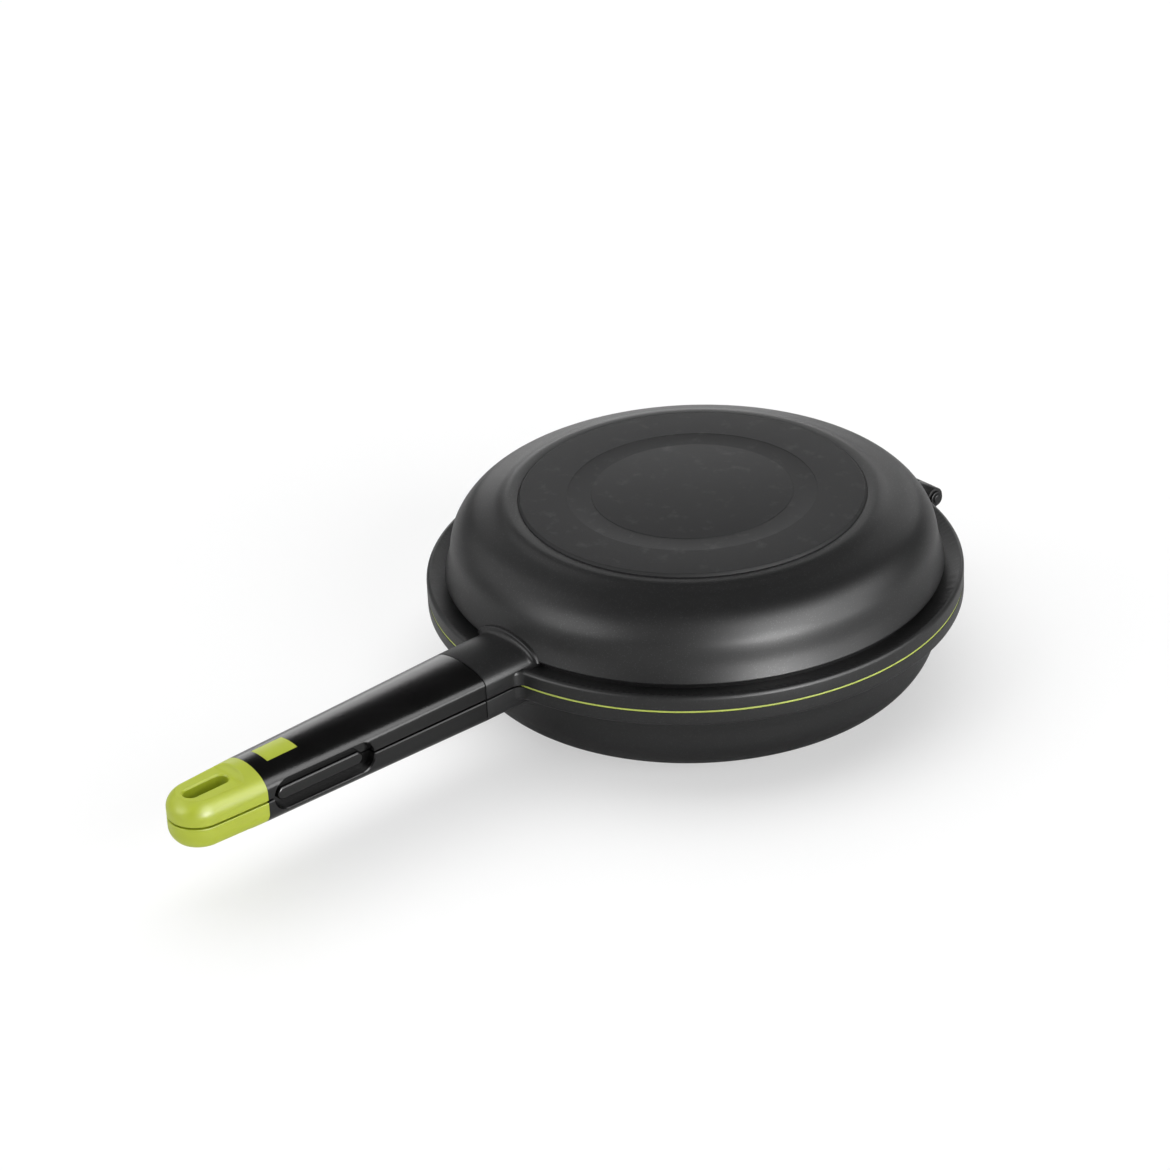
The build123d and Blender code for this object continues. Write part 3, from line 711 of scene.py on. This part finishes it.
def place_half(piece, half):
    """Stand the upper half on the split plane, or turn a half over for the lower one."""
    flip = Matrix.Diagonal((1, 1, -1 if half == "lower" else 1, 1))
    piece.data.transform(Matrix.Translation((0, 0, split_z)) @ flip)
    if half == "lower":
        piece.data.flip_normals()


# %% Both castings
skins = [finishes["coated_casting"], lining]
for half in ("upper", "lower"):
    depth = depths[half]
    casting = as_object(half + "_casting", joined([turned(outside(depth))]), *skins)
    rim = as_object("rim", flange(), *skins)
    combine(rim, as_object("tool", joined([turned(dish())])), "DIFFERENCE")
    combine(casting, rim, "UNION")
    additions = [arm(half), collar(half),
                 slab(-tang_half, tang_half, -tang_end, tang_root, tang_low, tang_high, 0.4 * mm)]
    for x0, x1 in spans[half]:
        additions.append(slab(x0, x1, groove_mouth + 1 * mm, hinge_y, face, web_top, 0.3 * mm))
        additions.append(rod(knuckle_radius, (x0, hinge_y, 0), (x1, hinge_y, 0), edge=0.3 * mm))
    for addition in additions:
        combine(casting, as_object("tool", addition), "UNION")
    reach = ear_end + 2 * mm
    cuts = [turned(inside(depth), material=1),
            turned(closed_ring(seal_in, rim_radius + 0.3 * mm, -1 * mm, seal_seat)),
            rod(bore_radius, (-reach, hinge_y, 0), (reach, hinge_y, 0)),
            rod(thread_radius, (0, thread_root, thread_height), (0, -tang_end - 1 * mm, thread_height))]
    if half == "lower":
        cuts.append(turned(closed_ring(rib_groove_in, rib_groove_out, 0, rib_groove_deep)))
    for cut in cuts:
        combine(casting, as_object("tool", joined([cut]), *skins), "DIFFERENCE")
    place_half(casting, half)
    finish_piece(casting, skins, half + "_half", "coated_casting", half + "_pan")

# %% [markdown]
# ## Base plates and seal
# The plates are steel discs set into the castings' bases with a bevelled edge that catches the
# light, and a shallow pressed band. The seal is a ring of silicone, thin at the rim and held by a
# rib in the lower pan.

# %% Plates
plate_bevel = 1.3 * mm
band_inner, band_outer, band_depth = 50.0 * mm, 62.0 * mm, 0.15 * mm
for half in ("upper", "lower"):
    top = depths[half]
    bottom = top - plate_thick
    edge = plate_bevel - 0.1 * mm
    plate = as_object(half + "_plate", joined([turned([
        (0, top), (band_inner, top, 0.1 * mm), (band_inner, top - band_depth, 0.1 * mm),
        (band_outer, top - band_depth, 0.1 * mm), (band_outer, top, 0.1 * mm),
        (plate_radius - edge, top, 0.25 * mm), (plate_radius, top - edge, 0.2 * mm),
        (plate_radius, bottom), (0, bottom)])]))
    place_half(plate, half)
    finish_piece(plate, [finishes["coated_plate"]], half + "_half", "coated_plate",
                 half + "_base_plate", sharp=50)

# %% Seal
seal_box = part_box("rim_seal")
seal_radius = seal_box[1].x
seal_top, seal_under = seal_box[1].z, split_z - seal_seat
rib_inner, rib_outer, rib_foot = 127.6 * mm, 129.6 * mm, seal_box[0].z
seal_inner = 126.4 * mm
seal = as_object("seal_ring", joined([turned([
    (seal_inner, seal_under), (seal_inner, seal_top, 0.2 * mm), (seal_radius, seal_top, 0.25 * mm),
    (seal_radius, seal_under, 0.25 * mm), (rib_outer, seal_under), (rib_outer, rib_foot, 0.3 * mm),
    (rib_inner, rib_foot, 0.3 * mm), (rib_inner, seal_under), (seal_inner, seal_under)])]))
finish_piece(seal, [finishes["green_silicone"]], "lower_half", "green_silicone", "rim_seal")

# %% [markdown]
# ## Floor and background
# The floor is a plain pale sheet. For rays that come straight from the camera, half of its look is
# a plain white glow, so that the sheet reads white out to the horizon while the soft shadow under
# the pan stays. For glossy rays it is darker, like the black cards that are laid around a dark
# product, so that its coat mirrors the lamps and not the paper. The sky is dim overhead and a
# little lighter at the horizon, like a studio with no ceiling lights.

# %% Floor
sheet = bmesh.new()
bmesh.ops.create_grid(sheet, x_segments=1, y_segments=1, size=20)
floor = as_object("floor", sheet)
paper = bpy.data.materials.new("white_paper")
paper.use_nodes = True
tree = paper.node_tree
tree.nodes.clear()
out = tree.nodes.new("ShaderNodeOutputMaterial")
rays = tree.nodes.new("ShaderNodeLightPath")


def mixed_paper(ray, share, under, over):
    """Second shader on top of the first, by a share that counts for one kind of ray only."""
    amount = tree.nodes.new("ShaderNodeMath")
    amount.operation = "MULTIPLY"
    amount.inputs[1].default_value = share
    both = tree.nodes.new("ShaderNodeMixShader")
    tree.links.new(rays.outputs[ray], amount.inputs[0])
    tree.links.new(amount.outputs[0], both.inputs[0])
    tree.links.new(under.outputs[0], both.inputs[1])
    tree.links.new(over.outputs[0], both.inputs[2])
    return both


matt = tree.nodes.new("ShaderNodeBsdfDiffuse")
matt.inputs["Color"].default_value = (0.95, 0.95, 0.95, 1)
glow = tree.nodes.new("ShaderNodeEmission")
glow.inputs["Strength"].default_value = 1.0
dark = tree.nodes.new("ShaderNodeBsdfDiffuse")
dark.inputs["Color"].default_value = (0.05, 0.05, 0.05, 1)
seen = mixed_paper("Is Camera Ray", 0.5, matt, glow)
sheet_look = mixed_paper("Is Glossy Ray", 0.42, seen, dark)
tree.links.new(sheet_look.outputs[0], out.inputs["Surface"])
floor.data.materials.append(paper)

# %% Sky
world = bpy.data.worlds.new("studio")
scene.world = world
world.use_nodes = True
sky = world.node_tree
direction = sky.nodes.new("ShaderNodeTexCoord")
height = sky.nodes.new("ShaderNodeSeparateXYZ")
fade = sky.nodes.new("ShaderNodeValToRGB")
fade.color_ramp.interpolation = "EASE"
fade.color_ramp.elements[0].position = 0.03
fade.color_ramp.elements[0].color = (0.12, 0.12, 0.12, 1)
fade.color_ramp.elements[1].position = 0.20
fade.color_ramp.elements[1].color = (0.012, 0.012, 0.012, 1)
sky.links.new(direction.outputs["Generated"], height.inputs[0])
sky.links.new(height.outputs["Z"], fade.inputs["Fac"])
sky.links.new(fade.outputs["Color"], sky.nodes["Background"].inputs["Color"])
scene.view_settings.view_transform = "Standard"
